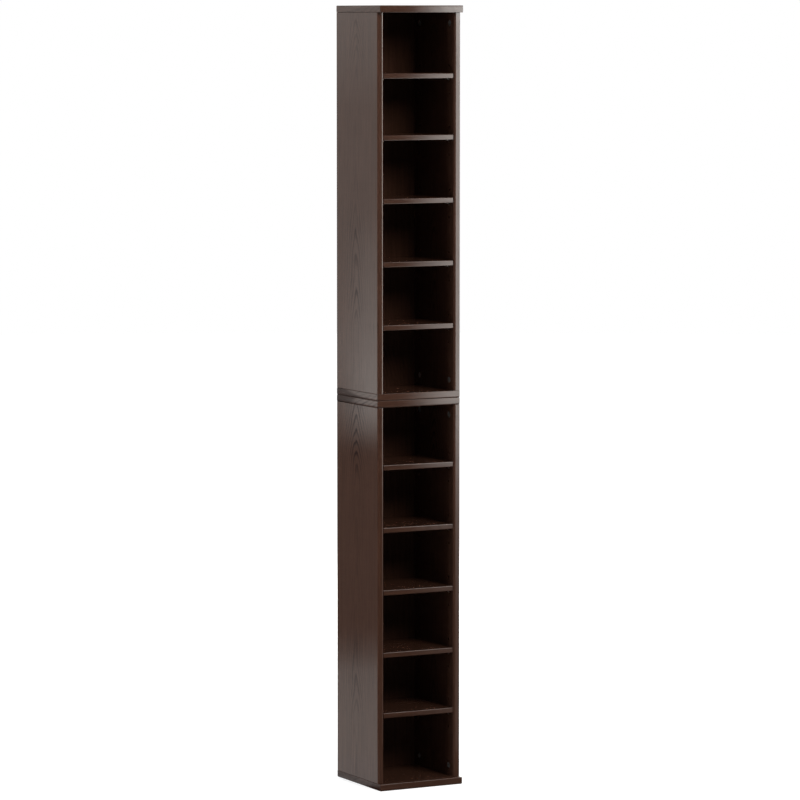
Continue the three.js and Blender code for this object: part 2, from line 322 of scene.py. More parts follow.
def lay_grain(mesh, along, across, figure_shift, start, painted_end_shade=None):
    """Writes where each face corner lies in the board's foil, as (across, through, along).

    The foil runs along one world axis. On the two ends it runs across the board instead, as an
    edge band does, and shows the crowded arches. start moves the figure along the board, and
    figure_shift sideways. The last argument, if given, is painted shade on the two ends, darker
    towards the rear: where it begins across the board, how far it takes to fill, and how far it
    leans over the board's thickness.
    """
    through, end_facing = 3 - along - across, 0.72
    places = read(mesh.vertices, "co", 3)
    low, middle = places.min(0), (places.min(0) + places.max(0)) / 2
    faces_along = np.abs(read(mesh.polygons, "normal", 3)[:, along])
    on_end = np.repeat(faces_along > end_facing, read(mesh.polygons, "loop_total", kind=int))
    corner = places[read(mesh.loops, "vertex_index", kind=int)]
    over_middle = corner[:, through] - middle[through]
    board = np.stack([
        corner[:, across] - middle[across] + figure_shift,
        corner[:, through] - low[through],
        corner[:, along] + start,
    ], -1)
    end = np.stack([
        over_middle + BAND_ASIDE + figure_shift,
        corner[:, along] - low[along],
        corner[:, across] + BAND_ALONG + BAND_STEP * start,
    ], -1)
    write(mesh, "grain", "FLOAT_VECTOR", "CORNER", "vector", np.where(on_end[:, None], end, board))
    # Painted shade on the ends, darker towards the rear and leaning over the thickness; none elsewhere
    filled = np.full(len(corner), NO_PAINTED_SHADE)
    if painted_end_shade:
        begins, takes, leans = painted_end_shade
        filled = np.where(on_end, (corner[:, across] - begins + leans * over_middle) / takes, NO_PAINTED_SHADE)
    write(mesh, "painted_end_shade", "FLOAT", "CORNER", "value", filled)


# Finishes


class NodeTree:
    """The nodes of a material or a world."""

    def __init__(self, owner, output):
        self.owner = owner
        owner.use_nodes = True
        self.tree = owner.node_tree
        self.tree.nodes.clear()
        self.output = self.add(output)

    def add(self, kind, links=None, **settings):
        """A node, its settings, and its inputs by name or number."""
        node = self.tree.nodes.new(kind)
        for key, value in settings.items():
            setattr(node, key, value)
        for key, value in (links or {}).items():
            self.feed(node.inputs[key], value)
        return node

    def feed(self, socket, value):
        """A link from a node or socket, or a plain value."""
        if isinstance(value, bpy.types.Node):
            value = value.outputs[0]
        if isinstance(value, bpy.types.NodeSocket):
            self.tree.links.new(value, socket)
        else:
            socket.default_value = value

    def sum(self, operation, first, second=0.0, third=0.0):
        """One Math node."""
        return self.add("ShaderNodeMath", {0: first, 1: second, 2: third}, operation=operation)

    def line(self, value, slope, height):
        """A value times a slope, plus a height."""
        return self.sum("MULTIPLY_ADD", value, slope, height)

    def attribute(self, name, output):
        """An attribute of the mesh."""
        node = self.add("ShaderNodeAttribute", attribute_name=name, attribute_type="GEOMETRY")
        return node.outputs[output]

    def dot(self, place, direction):
        """How far a place lies towards a direction."""
        node = self.add("ShaderNodeVectorMath", {0: place, 1: direction}, operation="DOT_PRODUCT")
        return node.outputs["Value"]

    def noise(self, place, scale, detail=2.0, roughness=0.5):
        """Fractal noise, from 0 to 1, at a place that is scaled by part."""
        scaled = self.add("ShaderNodeVectorMath", {0: place, 1: scale}, operation="MULTIPLY")
        inputs = {"Vector": scaled, "Scale": 1.0, "Detail": detail, "Roughness": roughness}
        return self.add("ShaderNodeTexNoise", inputs).outputs["Fac"]

    def flecks(self, place, scale, begins, full, detail=2.0):
        """Noise that counts only from begins, and fully from full."""
        return self.ramp(self.noise(place, scale, detail), (0.0, 0.0), (begins, 0.0), (full, 1.0))

    def swayed(self, value, noise, reach):
        """A value moved to either side by noise."""
        return self.line(self.sum("SUBTRACT", noise, 0.5), reach, value)

    def ramp(self, value, *stops):
        """A value turned to another by (place, level) stops."""
        node = self.add("ShaderNodeValToRGB", {0: value})
        points = node.color_ramp.elements
        while len(points) < len(stops):
            points.new(0.5)
        for point, (place, level) in zip(points, stops):
            point.position = place
            point.color = (level, level, level, 1.0)
        return node.outputs["Color"]

    def span(self, value, start, end, low, high, curve="LINEAR"):
        """A value's way from start to end, turned to one from low to high."""
        inputs = {"Value": value, 1: start, 2: end, 3: low, 4: high}
        return self.add("ShaderNodeMapRange", inputs, interpolation_type=curve)

    def mix(self, share_of_second, first, second):
        """Two colours mixed."""
        inputs = {0: share_of_second, 6: first, 7: second}
        return self.add("ShaderNodeMix", inputs, data_type="RGBA").outputs[2]

    def close(self, shader):
        """The material or world, with this shader at its end."""
        self.tree.links.new(shader.outputs[0], self.output.inputs["Surface"])
        return self.owner

    def surface(self, **inputs):
        """A material that ends in the principled shader, its inputs by name with _ for a space."""
        named = {key.replace("_", " "): value for key, value in inputs.items()}
        return self.close(self.add("ShaderNodeBsdfPrincipled", named))


def new_finish(name):
    """The empty node tree of a new material."""
    return NodeTree(bpy.data.materials.new(name), "ShaderNodeOutputMaterial")


def solid(rgb, gain):
    """A colour for a socket, with its alpha."""
    return (*(part * gain for part in rgb), 1.0)


def foil_finish(name, settings, gain, figure, roughness, coat):
    """Espresso foil with the figure of flat-sawn wood.

    The growth rings are level lines of sqrt(across^2 + (through + pith)^2) + width * climbed(along),
    bent by slow and quick noise. They draw narrow arches in the middle of a board where the heart
    climbs steeply, and upright lines elsewhere and at its sides, where they fade. Painted shade darkens
    the ends of some boards, frayed by the quick noise, and thins their lacquer as the rings do. Pores
    are noise drawn out along the grain, and they crowd in the late wood and the painted shade, where
    the lacquer is thinner.
    """
    drift_reach, pith, slow_reach, quick_reach = 0.028, 0.0095, 0.034, 0.006
    heart_fade, fray, shade_full = -700.0, 1.2, 0.95

    nodes = new_finish(name)
    woods = settings.wood_light, settings.wood_dark, settings.pore
    light, dark, pore = (solid(rgb, gain) for rgb in woods)
    grain = nodes.attribute("grain", "Vector")
    across, through, along = nodes.add("ShaderNodeSeparateXYZ", {0: grain}).outputs

    # The rings, and the painted shade on the ends
    slow = nodes.noise(grain, (7.0, 7.0, 4.2))
    drift = nodes.noise(grain, (0.0, 0.0, 5.0), detail=1.0)
    quick = nodes.noise(grain, (90.0, 90.0, 11.0), detail=3.0)
    aside = nodes.swayed(across, drift, drift_reach)
    aside_squared = nodes.sum("MULTIPLY", aside, aside)
    depth = nodes.sum("ADD", through, pith)
    radius = nodes.sum("SQRT", nodes.sum("ADD", aside_squared, nodes.sum("MULTIPLY", depth, depth)))
    place = nodes.sum("FRACT", nodes.sum("DIVIDE", along, FOIL_REPEAT))
    climbed = nodes.ramp(place, *((z / FOIL_REPEAT, rings / FOIL_RINGS) for z, rings in RINGS_CLIMBED))
    leaning = nodes.line(climbed, FOIL_RINGS * settings.ring_width, radius)
    ragged = nodes.swayed(nodes.swayed(leaning, slow, slow_reach), quick, quick_reach)
    count = nodes.sum("DIVIDE", ragged, settings.ring_width)
    late = nodes.ramp(nodes.sum("FRACT", count), *RING_TONE)
    number = nodes.sum("FLOOR", count)
    year = nodes.add("ShaderNodeTexWhiteNoise", {"W": number}, noise_dimensions="1D").outputs["Value"]
    heart = nodes.sum("EXPONENT", nodes.sum("MULTIPLY", aside_squared, heart_fade))
    by_heart = nodes.line(heart, 0.85, 0.15)
    by_year = nodes.line(year, 0.4, 0.85)
    by_place = nodes.ramp(place, *((z / FOIL_REPEAT, shown) for z, shown in RINGS_SHOWN))
    shown = nodes.sum("MULTIPLY", late, nodes.sum("MULTIPLY", by_heart, by_year))
    rings = nodes.sum("MULTIPLY", shown, by_place)
    # Painted shade on the ends of some boards, frayed by noise; it darkens the wood and thins the lacquer
    # as the rings do
    frayed_shade = nodes.swayed(nodes.attribute("painted_end_shade", "Fac"), quick, fray)
    rings_and_painted_shade = nodes.sum("MAXIMUM", rings, nodes.ramp(frayed_shade, (0.0, 0.0), (1.0, shade_full)))

    # Colour: the rings and the painted shade on the ends, dark fibres and dashes, pores, and a broad
    # uneven tone over all
    pores = nodes.flecks(grain, (2100.0, 2100.0, 62.0), 0.56, 0.68, detail=1.0)
    fibre = nodes.noise(grain, (620.0, 620.0, 14.0), detail=3.0, roughness=0.6)
    broad = nodes.noise(grain, (150.0, 150.0, 5.0))
    dash = nodes.flecks(grain, (240.0, 240.0, 22.0), 0.5, 0.7)
    wood = nodes.mix(nodes.sum("MULTIPLY", rings_and_painted_shade, settings.figure * figure), light, dark)
    lined = nodes.line(dash, 0.16, nodes.line(fibre, 0.55, -0.13))
    crowded = nodes.sum("MULTIPLY", pores, nodes.line(rings_and_painted_shade, 0.55, 0.22))
    pored = nodes.mix(crowded, nodes.mix(lined, wood, dark), pore)
    level = nodes.line(broad, 0.7, 0.68)
    toned = nodes.add("ShaderNodeVectorMath", {0: pored, "Scale": level}, operation="SCALE")

    # Gloss: pores and fibres roughen it, and late wood, the painted shade on the ends and dashes thin the
    # lacquer
    uneven = nodes.line(fibre, 0.1, roughness - 0.05)
    rough = nodes.line(crowded, 0.2, uneven)
    relief = nodes.line(crowded, -1.0, nodes.sum("MULTIPLY", fibre, 0.35))
    bump = nodes.add("ShaderNodeBump", {"Strength": 0.3, "Distance": 0.00012, "Height": relief})
    lacquer = 0.0
    if coat:
        over_rings_and_shade = nodes.line(rings_and_painted_shade, -0.56 * coat, coat)
        lacquer = nodes.line(dash, -0.16 * coat, over_rings_and_shade)
    return nodes.surface(
        Base_Color=toned, Roughness=rough, Normal=bump, IOR=1.5, Specular_IOR_Level=0.05,
        Coat_Weight=lacquer, Coat_Roughness=0.12,
    )


def metal_finish(name, rgb, roughness, fleck, metallic):
    """Plated or cast metal: even, with fine unevenness in its gloss and its skin."""
    nodes = new_finish(name)
    place = nodes.add("ShaderNodeTexCoord").outputs["Object"]
    fine = nodes.noise(place, (2400.0,) * 3, detail=3.0)
    broad = nodes.noise(place, (310.0,) * 3)
    tone = nodes.mix(broad, solid(rgb, 0.86), solid(rgb, 1.08))
    gloss = nodes.line(fine, 0.22, roughness - 0.11)
    bump = nodes.add("ShaderNodeBump", {"Strength": fleck, "Distance": 0.00005, "Height": fine})
    return nodes.surface(Base_Color=tone, Metallic=metallic, Roughness=gloss, Normal=bump)


def dowel_finish(name, rgb):
    """Pressed beech: pale, with short dark flecks along the dowel."""
    nodes = new_finish(name)
    place = nodes.add("ShaderNodeTexCoord").outputs["Object"]
    fleck = nodes.flecks(place, (1900.0, 1900.0, 260.0), 0.52, 0.66)
    tone = nodes.mix(nodes.noise(place, (260.0, 260.0, 40.0)), solid(rgb, 0.85), solid(rgb, 1.1))
    wood = nodes.mix(nodes.sum("MULTIPLY", fleck, 0.45), tone, solid(rgb, 0.5))
    bump = nodes.add("ShaderNodeBump", {"Strength": 0.3, "Distance": 0.0001, "Height": fleck})
    return nodes.surface(Base_Color=wood, Roughness=0.62, Normal=bump)


def finish_of(name):
    """The named material, made once from the scene's settings."""
    made = bpy.data.materials.get(name)
    if made:
        return made
    settings = bpy.context.scene.tower_finish
    # Each foil: how light, how strong its figure, how rough, and how much lacquer
    foils = {
        "espresso_side_foil": (1.0, 1.0, 0.42, 0.9),
        "espresso_board_foil": (1.0, 0.8, 0.42, 0.9),
        "espresso_shelf_foil": (0.94, 0.8, 0.42, 0.9),
        "espresso_back_foil": (0.72, 0.7, 0.52, 0.0),
    }
    if name in foils:
        return foil_finish(name, settings, *foils[name])
    if name == "nickel_plate":
        return metal_finish(name, settings.nickel, 0.27, 0.1, 1.0)
    if name == "cast_zinc":
        return metal_finish(name, settings.zinc, 0.42, 0.45, 0.85)
    return dowel_finish(name, settings.beech)


# Placing


def place_piece(name, mesh, material, body, stands_for=None):
    """Puts a finished piece on its body, in place of its frame node where it has one."""
    mesh.name = name
    mesh.materials.clear()
    mesh.materials.append(finish_of(material))
    piece = new_object(name, mesh)
    smooth(piece)
    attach(piece, body)
    if stands_for:
        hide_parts(stands_for)


def case_span(case):
    """Top of the board under a case's panels, and underside of the board over them."""
    below = {"lower": "base", "upper": "bottom"}[case]
    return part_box(f"{case}_{below}_board")[1][UP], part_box(f"{case}_top_board")[0][UP]


def inner_face(case, hand):
    """Where a side panel's inner face lies across the tower."""
    low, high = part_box(f"{case}_{hand}_side")
    return (high if hand == "left" else low)[ACROSS]


def hole_lines(case, boards):
    """How deep the front and rear lines of holes lie."""
    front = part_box(f"{case}_left_side")[0][DEEP] + boards.hole_line
    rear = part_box(f"{case}_back_panel")[0][DEEP] - boards.groove_gap - boards.hole_line
    return front, rear


def cam_heights(case, boards):
    """How high the axes of a case's lower and upper cam locks lie."""
    floor, ceiling = case_span(case)
    return floor + boards.cam_from_end, ceiling - boards.cam_from_end


def dowel_places(boards, fittings):
    """Where the dowels between the cases stand."""
    inner = inner_face("lower", "right") - fittings.dowel_inset
    return [(x, y) for y in hole_lines("lower", boards) for x in (-inner, inner)]


def rounded_board(low, high, radii, end_radius, along, arc_steps, end_steps=4, low_reach=0.0):
    """A closed board between two corners, its section swept along X or along Z."""
    size = np.subtract(high, low)
    thick = size[UP] if along == ACROSS else size[ACROSS]
    points, outward = rounded_section(size[DEEP], thick, radii, arc_steps)
    points, faces = swept_section(points, outward, size[along], end_radius, end_steps, low_reach)
    if along == ACROSS:
        return lay_along_x(points, low), faces
    return points[:, [1, 0, 2]] * (-1, 1, 1) + (high[ACROSS], low[DEEP], low[UP]), faces


def panel_cutters(case, hand, side, boards):
    """The groove, the pin holes with a spare one above and below each, and the cam bores."""
    inner = inner_face(case, hand)
    fittings = bpy.context.scene.tower_fittings

    def reach(depth):
        return sorted((inner - side * CUT_PAST, inner + side * depth))

    def bore(radius, depth, y, z, around):
        near, far = reach(depth)
        points, faces = round_bar((radius, radius), (0.0, far - near), around)
        return lay_along_x(points, (near, y, z)), faces

    back_low, back_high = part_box(f"{case}_back_panel")
    near, far = reach(boards.groove_depth)
    floor, ceiling = case_span(case)
    parts = [box(
        (near, back_low[DEEP] - boards.groove_gap, floor - 0.01),
        (far, back_high[DEEP] + boards.groove_gap, ceiling + 0.01),
    )]
    for y in hole_lines(case, boards):
        for number in SHELVES:
            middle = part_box(f"{case}_shelf_{number}")[0][UP] - fittings.seat_gap - fittings.shank_radius
            for step in (-1, 0, 1):
                z = middle + step * boards.spare_hole_step
                parts.append(bore(boards.pin_hole_radius, boards.pin_hole_depth, y, z, around=24))
        for z in cam_heights(case, boards):
            parts.append(bore(boards.cam_bore_radius, boards.cam_bore_depth, y, z, around=40))
    return join(parts)


class TOWER_OT_side_panels(bpy.types.Operator):
    """Make the four side panels with their grooves, pin holes and cam bores"""
    bl_idname = "tower.side_panels"
    bl_label = "Side panels"

    def execute(self, context):
        boards = context.scene.tower_boards
        rear, edge = boards.side_rear_round, boards.broken_arris
        for case, (hand, side) in product(CASES, HANDS):
            node = f"{case}_{hand}_side"
            low, high = (list(corner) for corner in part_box(node))
            low[UP], high[UP] = case_span(case)
            right, left = (boards.side_inner_round, boards.side_front_round)[::-side]
            corners = (right, rear, rear, left)
            mesh = new_mesh(node, *rounded_board(low, high, corners, edge, UP, arc_steps=8))
            mesh = combine(mesh, *panel_cutters(case, hand, side, boards), "DIFFERENCE")
            shift, start = {"left": (-0.004, 0.0), "right": (0.007, FOIL_REPEAT)}[hand]
            lay_grain(mesh, UP, DEEP, shift, start)
            place_piece(f"{node}_foiled", mesh, "espresso_side_foil", f"{case}_case", node)
        return {"FINISHED"}


def dowel_holes(boards, fittings, underside):
    """Blind holes that the upper case drops over the dowels with."""
    radius = fittings.dowel_radius + fittings.hole_play
    reach = fittings.dowel_reach + fittings.hole_play
    parts = []
    for x, y in dowel_places(boards, fittings):
        points, faces = round_bar((radius, radius), (-CUT_PAST, reach), around=32)
        parts.append((points + (x, y, underside), faces))
    return join(parts)


class TOWER_OT_end_boards(bpy.types.Operator):
    """Make the four boards that close the cases"""
    bl_idname = "tower.end_boards"
    bl_label = "End boards"

    def execute(self, context):
        boards, fittings = context.scene.tower_boards, context.scene.tower_fittings
        below, arris, broken = boards.board_low_round, boards.board_round, boards.broken_arris
        # The front arrises, below and above, and the painted shade of the ends, darker towards the rear
        kinds = {
            "lower_base_board": (below, arris, (-1.4, 2.0, 0.0)),
            "lower_top_board": (below, broken, (0.005, 0.035, 1.5)),
            "upper_bottom_board": (below, broken, (-0.012, 0.045, -8.0)),
            "upper_top_board": (broken, arris, None),
        }
        for index, (node, (front_low, front_high, painted_end_shade)) in enumerate(kinds.items()):
            low, high = (list(corner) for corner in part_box(node))
            if node == "lower_top_board":
                high[UP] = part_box("upper_bottom_board")[0][UP]
            corners = (front_low, arris, arris, front_high)
            shape = rounded_board(low, high, corners, arris, ACROSS, 6, 8, boards.end_low_reach)
            mesh = new_mesh(node, *shape)
            if node == "upper_bottom_board":
                mesh = combine(mesh, *dowel_holes(boards, fittings, low[UP]), "DIFFERENCE")
            lay_grain(mesh, ACROSS, DEEP, 0.013 * index, 2.42 + 0.66 * index, painted_end_shade)
            body = f"{node.split('_')[0]}_case"
            place_piece(f"{node}_foiled", mesh, "espresso_board_foil", body, node)
        return {"FINISHED"}


class TOWER_OT_shelves(bpy.types.Operator):
    """Make the ten loose shelves"""
    bl_idname = "tower.shelves"
    bl_label = "Shelves"

    def execute(self, context):
        boards = context.scene.tower_boards
        front, edge = boards.shelf_front_round, boards.broken_arris
        for (case_index, case), number in product(enumerate(CASES), SHELVES):
            node = f"{case}_shelf_{number}"
            shape = rounded_board(*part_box(node), (front, edge, edge, front), edge, ACROSS, arc_steps=6)
            mesh = new_mesh(node, *shape)
            lay_grain(mesh, ACROSS, DEEP, 0.02 * number - 0.05, 7.3 + 0.61 * number + 4.1 * case_index)
            place_piece(f"{node}_foiled", mesh, "espresso_shelf_foil", node, node)
        return {"FINISHED"}


class TOWER_OT_back_panels(bpy.types.Operator):
    """Make the two thin back panels"""
    bl_idname = "tower.back_panels"
    bl_label = "Back panels"

    def execute(self, context):
        side_edge, end_edge = 0.0004, 0.0002
        for case_index, case in enumerate(CASES):
            node = f"{case}_back_panel"
            low, high = (list(corner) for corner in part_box(node))
            low[UP], high[UP] = case_span(case)
            mesh = new_mesh(node, *rounded_board(low, high, (side_edge,) * 4, end_edge, UP, arc_steps=2))
            lay_grain(mesh, UP, ACROSS, 0.02, 5.2 + 1.9 * case_index)
            place_piece(f"{node}_foiled", mesh, "espresso_back_foil", f"{case}_case", node)
        return {"FINISHED"}


def support_mesh(shank):
    """A spoon-shaped support along X, from its shank's tip in the hole to its blade's end.

    The section at each place is |y / a|^p + |z / b|^p = 1: a circle in the shank, p = 2, and a
    flat blade with soft edges, p = 5, whose half width is sqrt(R^2 - (x - x0)^2) at its round
    end. A round stop with its top cut level stands against the panel.
    """
    around, blade_half, blade_end, thin = 28, 0.0045, 0.011, 0.0011
    round_from = blade_end - blade_half
    # Each row: place, half width, centre's height, half height, power p
    tip = ((-0.008, 0.82), (-0.0076, 0.95), (-0.007, 1.0), (0.0006, 1.0))
    rows = [(x, shank * part, -shank, shank * part, 2.0) for x, part in tip]
    for x, half_high in ((0.0009, 0.0017), (0.003, 0.00135), (round_from, thin)):
        rows.append((x, blade_half, -half_high, half_high, 5.0))
    for turn in np.radians((15, 30, 45, 58, 69, 78, 85)):
        half_high = thin * (1 - 0.25 * np.sin(turn) ** 8)
        x, half_wide = round_from + blade_half * np.sin(turn), blade_half * np.cos(turn)
        rows.append((x, half_wide, -thin, half_high, 5.0))
    place, half_wide, centre, half_high, power = np.array(rows).T[..., None]
    angle = np.arange(around) * 2 * np.pi / around
    cos, sin = np.cos(angle)[None], np.sin(angle)[None]
    y = half_wide * np.sign(cos) * np.abs(cos) ** (2 / power)
    z = centre + half_high * np.sign(sin) * np.abs(sin) ** (2 / power)
    points = np.stack([np.broadcast_to(place, y.shape), y, z], -1).reshape(-1, 3)
    spoon = new_mesh("support", points, ring_faces(len(rows), around))

    stop, thick, stop_edge = 0.004, 0.0012, 0.00025
    level = np.arcsin(shank / stop)
    angle = np.linspace(np.pi - level, 2 * np.pi + level, 31)
    outward = np.stack([np.cos(angle), np.sin(angle)], -1)
    points, faces = swept_section(stop * outward - (0, shank), outward, thick, stop_edge, steps=3)
    points[:, 1] = np.minimum(points[:, 1], 0.0)
    return combine(spoon, lay_along_x(points), faces, "UNION")


class TOWER_OT_shelf_supports(bpy.types.Operator):
    """Make the forty plated shelf supports, four to a shelf"""
    bl_idname = "tower.shelf_supports"
    bl_label = "Shelf supports"

    def execute(self, context):
        boards, fittings = context.scene.tower_boards, context.scene.tower_fittings
        pattern = support_mesh(fittings.shank_radius)
        shape = read(pattern.vertices, "co", 3)
        for case in CASES:
            lines = zip(("front", "back"), hole_lines(case, boards))
            for number, (end, y), (hand, side) in product(SHELVES, lines, HANDS):
                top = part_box(f"{case}_shelf_{number}")[0][UP] - fittings.seat_gap
                placed = shape * (-side, -side, 1) + (inner_face(case, hand), y, top)
                mesh = pattern.copy()
                mesh.vertices.foreach_set("co", placed.ravel())
                mesh.update()
                node = f"{case}_shelf_{number}_pin_{end}_{hand}"
                place_piece(f"{node}_plated", mesh, "nickel_plate", f"{case}_case", node)
        bpy.data.meshes.remove(pattern)
        return {"FINISHED"}


def lock_shape(fittings):
    """A cam lock along w, its head towards +w and its face below w = 0.

    Over the polar grid the face sinks by depth * cross(a, b), where cross is 1 inside either
    bar of the cross and falls to 0 over a short slope, and by a shallow ring near the rim.
    """
    around, slope, foot_place = 96, 0.00025, -0.012
    ring_radius, ring_width, ring_depth = 0.00545, 0.00022, 0.00018
    rim, reach, half = fittings.cam_radius, fittings.cross_reach, fittings.cross_half_width
    radii = np.concatenate([
        np.linspace(0.0002, 0.0048, 24), (0.0051, 0.0053, 0.0056, 0.0058, 0.0062, 0.0066),
        (rim - 0.0003, rim - 0.0001, rim),
    ])[:, None]
    angle = np.arange(around) * 2 * np.pi / around
    a, b = radii * np.cos(angle), radii * np.sin(angle)

    def bar(p, q):
        inside = np.minimum((reach - np.abs(p)) / slope, (half - np.abs(q)) / slope) + 0.5
        return np.clip(inside, 0, 1)

    cross = np.maximum(bar(a, b), bar(b, a))
    ring = np.exp(-((radii - ring_radius) / ring_width) ** 2)
    sink = fittings.cam_sink + fittings.cross_depth * cross + ring_depth * ring
    # The rim's round arris
    sink[-2] += 0.00006
    sink[-1] += 0.00025
    head = np.stack([a, b, -sink], -1)
    foot = head[-1].copy()
    foot[:, 2] = foot_place
    rings = np.concatenate([foot[None], head[::-1]])
    return rings.reshape(-1, 3), ring_faces(len(rings), around)


class TOWER_OT_cam_locks(bpy.types.Operator):
    """Make the sixteen cam locks that hold the end boards"""
    bl_idname = "tower.cam_locks"
    bl_label = "Cam locks"

    def execute(self, context):
        boards, fittings = context.scene.tower_boards, context.scene.tower_fittings
        points, faces = lock_shape(fittings)
        for case in CASES:
            lines = zip(("front", "back"), hole_lines(case, boards))
            heights = zip(("low", "high"), cam_heights(case, boards))
            for (end, y), (level, z), (hand, side) in product(lines, heights, HANDS):
                mesh = new_mesh("cam", lay_along_x(points, (inner_face(case, hand), y, z), -side), faces)
                name = f"{case}_cam_{level}_{end}_{hand}"
                place_piece(name, mesh, "cast_zinc", f"{case}_case")
        return {"FINISHED"}


class TOWER_OT_case_dowels(bpy.types.Operator):
    """Make the four dowels that keep the upper case on the lower one"""
    bl_idname = "tower.case_dowels"
    bl_label = "Dowels between the cases"

    def execute(self, context):
        boards, fittings = context.scene.tower_boards, context.scene.tower_fittings
        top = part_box("upper_bottom_board")[0][UP]
        radius, reach = fittings.dowel_radius, fittings.dowel_reach
        radii = (radius, radius, radius - 0.0002, radius - 0.0008, radius - 0.0011)
        places = (-0.003, reach - 0.0014, reach - 0.0009, reach - 0.0002, reach)
        points, faces = round_bar(radii, places, around=96, flutes=16, flute_depth=0.05)
        names = ("front_left", "front_right", "back_left", "back_right")
        for name, (x, y) in zip(names, dowel_places(boards, fittings)):
            mesh = new_mesh("dowel", points + (x, y, top), faces)
            place_piece(f"case_dowel_{name}", mesh, "pressed_beech", "lower_case")
        return {"FINISHED"}


def make_floor(radius):
    """A round floor, grown from rings of radius r at height 0.

    To the camera it glows, a little less near the tower. To gloss it is dark, but for the part
    that the side panel mirrors, which fades away from the tower.
    """
    piece = new_object("floor", new_mesh("floor", *round_bar((radius, radius), (-0.02, 0.0), around=96)))
    nodes = new_finish("pale_floor")
    path = nodes.add("ShaderNodeLightPath")
    place = nodes.add("ShaderNodeTexCoord").outputs["Object"]
    away = nodes.add("ShaderNodeVectorMath", {0: place}, operation="LENGTH").outputs["Value"]
    glow = nodes.span(away, 0.7, 3.0, 0.7, 1.0, "SMOOTHSTEP")
    matt = nodes.add("ShaderNodeBsdfDiffuse", {"Color": (0.5, 0.5, 0.5, 1.0)})
    bright = nodes.add("ShaderNodeEmission", {"Color": WHITE, "Strength": glow})
    lifted = nodes.add("ShaderNodeAddShader", {0: matt, 1: bright})
    patch = nodes.span(nodes.dot(place, (-SIGHT_X, SIGHT_Y, 0.0)), 0.0, 0.05, 0.03, 0.62)
    sheen = nodes.sum("MULTIPLY", patch, nodes.span(away, 0.45, 0.65, 1.0, 0.05))
    mirrored = nodes.add("ShaderNodeEmission", {"Color": WHITE, "Strength": sheen})
    gloss = nodes.sum("MAXIMUM", path.outputs["Is Glossy Ray"], path.outputs["Is Transmission Ray"])
    plain = nodes.add("ShaderNodeMixShader", {0: gloss, 1: matt, 2: mirrored})
    seen = nodes.add("ShaderNodeMixShader", {0: path.outputs["Is Camera Ray"], 1: plain, 2: lifted})
    piece.data.materials.append(nodes.close(seen))


def make_world(scene):
    """White to the camera and through glass, a low even light on the surfaces, and for their
    gloss a dim studio, paler overhead, with the white backdrop behind the tower, where the line
    of sight . the direction is near 1."""
    nodes = NodeTree(bpy.data.worlds.new("studio"), "ShaderNodeOutputWorld")
    path = nodes.add("ShaderNodeLightPath")
    place = nodes.add("ShaderNodeTexCoord").outputs["Generated"]
    backdrop = nodes.span(nodes.dot(place, (SIGHT_X, SIGHT_Y, 0.0)), 0.8, 0.97, 0.0, 1.0, "SMOOTHSTEP")
    overhead = nodes.span(nodes.dot(place, (0.0, 0.0, 1.0)), 0.05, 0.75, 0.05, 0.4, "SMOOTHSTEP")
    in_gloss = nodes.sum("MAXIMUM", backdrop, overhead)
    by_gloss = nodes.add("ShaderNodeMix", {0: path.outputs["Is Glossy Ray"], 2: 0.16, 3: in_gloss})
    seen = nodes.sum("MAXIMUM", path.outputs["Is Camera Ray"], path.outputs["Is Transmission Ray"])
    strength = nodes.add("ShaderNodeMix", {0: seen, 2: by_gloss, 3: 1.0})
    surround = nodes.add("ShaderNodeBackground", {"Color": WHITE, "Strength": strength})
    scene.world = nodes.close(surround)


def make_lamps():
    """Broad soft lamps, which light the surfaces and stay out of their gloss."""
    warm, cool, even = (1.0, 0.95, 0.88), (0.9, 0.95, 1.0), (1.0, 1.0, 1.0)
    aim_below = 0.9
    # Each lamp: name, place, width, height, radiance, tint
    lamps = (
        ("left", (-3.6, 0.2, 1.25), 2.0, 2.4, 7.8, cool),
        ("front", (0.9, -4.4, 3.9), 2.2, 2.2, 15.5, warm),
        ("right", (3.4, 0.3, 1.4), 1.6, 2.2, 5.5, even),
        ("back", (1.0, 3.6, 2.0), 1.8, 2.0, 9.0, even),
        ("top", (0.2, 0.3, 4.2), 2.0, 2.0, 4.0, even),
    )
    for name, place, wide, high, radiance, tint in lamps:
        lamp = bpy.data.lights.new(name, "AREA")
        lamp.shape = "RECTANGLE"
        lamp.size, lamp.size_y = wide, high
        lamp.energy = radiance * math.pi * wide * high
        lamp.color = tint
        holder = new_object(name, lamp)
        holder.location = place
        away = holder.location.copy()
        away.z -= aim_below
        holder.rotation_euler = away.to_track_quat("Z", "Y").to_euler()
        holder.visible_camera = holder.visible_glossy = False


